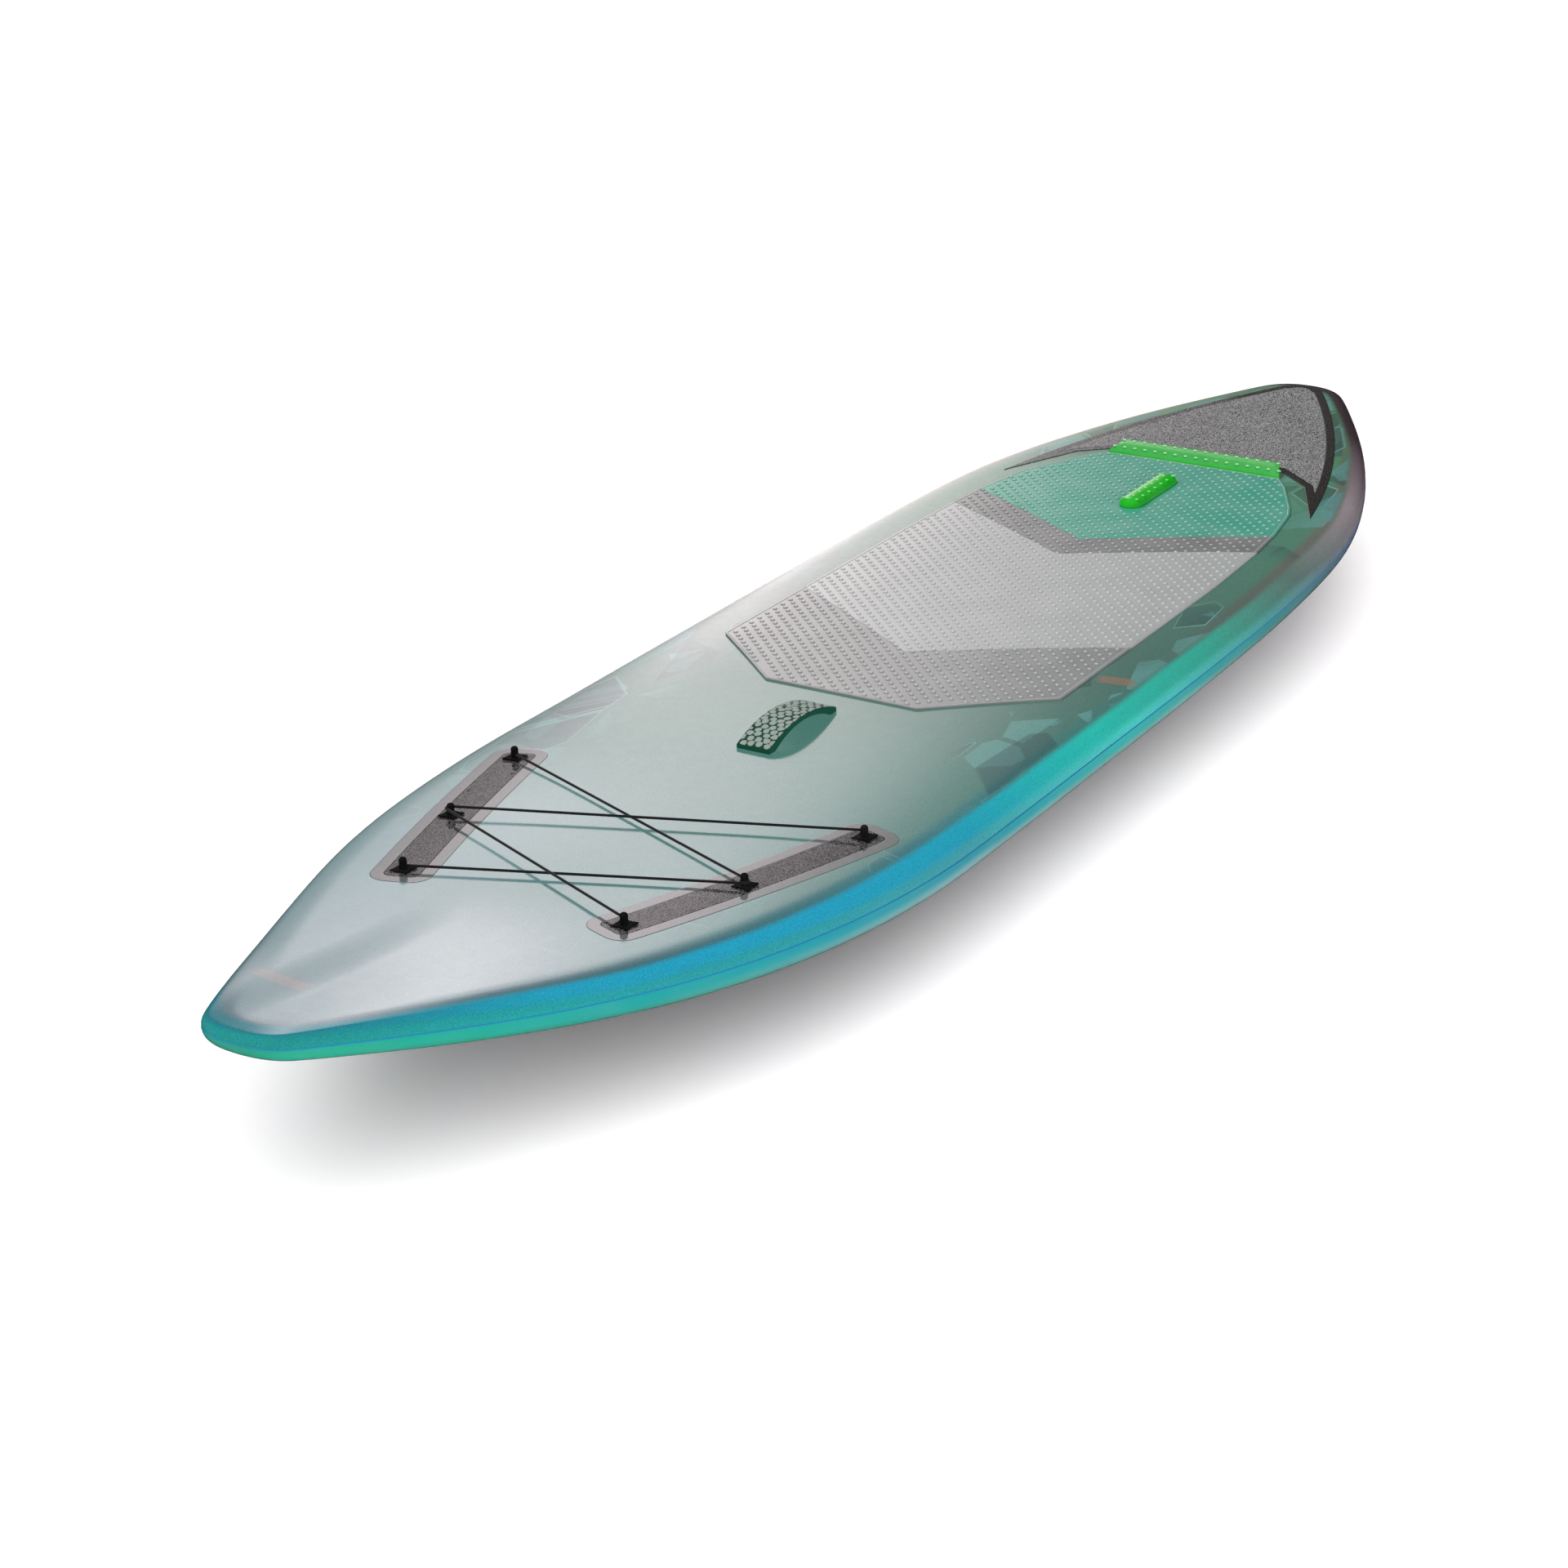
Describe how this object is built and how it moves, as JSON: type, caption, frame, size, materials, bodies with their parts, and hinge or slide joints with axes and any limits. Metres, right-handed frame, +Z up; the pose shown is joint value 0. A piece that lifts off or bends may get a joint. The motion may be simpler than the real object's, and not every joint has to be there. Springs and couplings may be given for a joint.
{
  "type": "stand up paddleboard",
  "caption": "Hard stand up paddleboard with pointed nose and narrow tail, studded deck pad, carry handle, bungee cords on posts, tail grip and a centre fin.",
  "frame": {"origin": "on the ground under the middle of the board's bounding box, at the height of the fin's tip", "axes": "+X towards the nose, +Y to port, +Z up from the deck"},
  "size_m": [3.2004, 0.8064, 0.3526],
  "materials": {
    "deck_gloss": "gloss clear coat over printed paint",
    "hull_gloss": "gloss clear coat over printed paint",
    "seam": "gloss",
    "foam_core": "closed-cell foam, matt",
    "stringer_wood": "plain sawn wood",
    "block_foam": "dense foam, matt",
    "insert_plastic": "moulded, matt",
    "steel": "stainless steel",
    "grit": "speckled grip sheet, matt",
    "grit_border": "painted border, gloss",
    "black_plastic": "moulded, satin",
    "cord": "braided elastic cord, matt",
    "handle_green": "moulded, satin",
    "handle_grip": "scaled grip surface, matt",
    "eva_dark_grey": "studded foam rubber, matt",
    "eva_light_grey": "studded foam rubber, matt",
    "eva_mid_grey": "studded foam rubber, matt",
    "eva_teal": "studded foam rubber, matt",
    "eva_green": "foam rubber, matt",
    "tail_grit": "speckled grip sheet, matt",
    "tail_border": "painted border, matt",
    "box_plastic": "moulded, matt",
    "fin_plastic": "moulded nylon, satin",
    "brass": "plain turned brass"
  },
  "bodies": {
    "board": {"deck_shell": "deck_gloss", "hull_shell": "hull_gloss", "rail_seam": "seam", "stringer": "stringer_wood", "foam_core_port": "foam_core", "foam_core_starboard": "foam_core", "handle_core_block": "block_foam", "fin_core_block": "block_foam", "post_inserts": "insert_plastic", "post_studs": "steel", "grip_strip_port": "grit", "grip_strip_starboard": "grit", "strip_border_port": "grit_border", "strip_border_starboard": "grit_border", "bungee_cord_a": "cord", "bungee_cord_b": "cord", "bungee_post_port_front": "black_plastic", "bungee_post_port_middle": "black_plastic", "bungee_post_port_rear": "black_plastic", "bungee_post_starboard_front": "black_plastic", "bungee_post_starboard_middle": "black_plastic", "bungee_post_starboard_rear": "black_plastic", "handle_strap": "handle_green", "handle_grip": "handle_grip", "handle_inserts": "insert_plastic", "handle_studs": "steel", "deck_pad_front": "eva_dark_grey", "deck_pad_middle": "eva_light_grey", "deck_pad_stripe": "eva_mid_grey", "deck_pad_rear": "eva_teal", "arch_bar": "eva_green", "kick_pad": "eva_green", "tail_grip": "tail_grit", "tail_grip_border": "tail_border", "fin_box": "box_plastic"},
    "fin_set": {"fin": "fin_plastic", "fin_screw": "steel", "fin_pin": "steel", "fin_nut_plate": "brass"}
  },
  "joints": [
    {"name": "fin_slide", "type": "slide", "parent": "board", "child": "fin_set", "axis": [0.9985, 0, -0.0548], "range_m": [-0.045, 0.045]}
  ]
}
